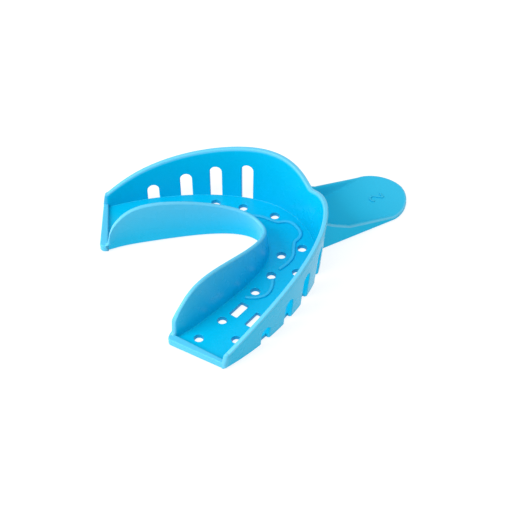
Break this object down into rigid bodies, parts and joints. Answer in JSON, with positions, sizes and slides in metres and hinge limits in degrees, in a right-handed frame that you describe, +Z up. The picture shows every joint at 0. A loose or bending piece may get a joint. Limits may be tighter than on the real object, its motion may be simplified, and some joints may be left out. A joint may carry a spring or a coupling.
{
  "type": "dental impression tray",
  "caption": "One-piece moulded full-arch lower impression tray: perforated U-shaped trough with slotted outer wall, low lingual wall, heel lips and a flat railed scoop handle.",
  "frame": {"origin": "centre of the overall box in X and Y, on the flat underside of the floor plate", "axes": "+X to the tray's right arm, +Y toward the handle, +Z up out of the trough; the tray is mirrored across X = 0 apart from the numeral"},
  "size_m": [0.082, 0.0958, 0.0201],
  "materials": {
    "moulded_plastic": "semi-gloss"
  },
  "bodies": {
    "root": {"floor_plate": "moulded_plastic", "outer_wall": "moulded_plastic", "lingual_wall": "moulded_plastic", "heel_lip_right": "moulded_plastic", "heel_lip_left": "moulded_plastic", "front_bead": "moulded_plastic", "side_bead_right": "moulded_plastic", "side_bead_left": "moulded_plastic", "handle_deck": "moulded_plastic", "handle_rail_right": "moulded_plastic", "handle_rail_left": "moulded_plastic", "size_numeral": "moulded_plastic"}
  },
  "joints": []
}
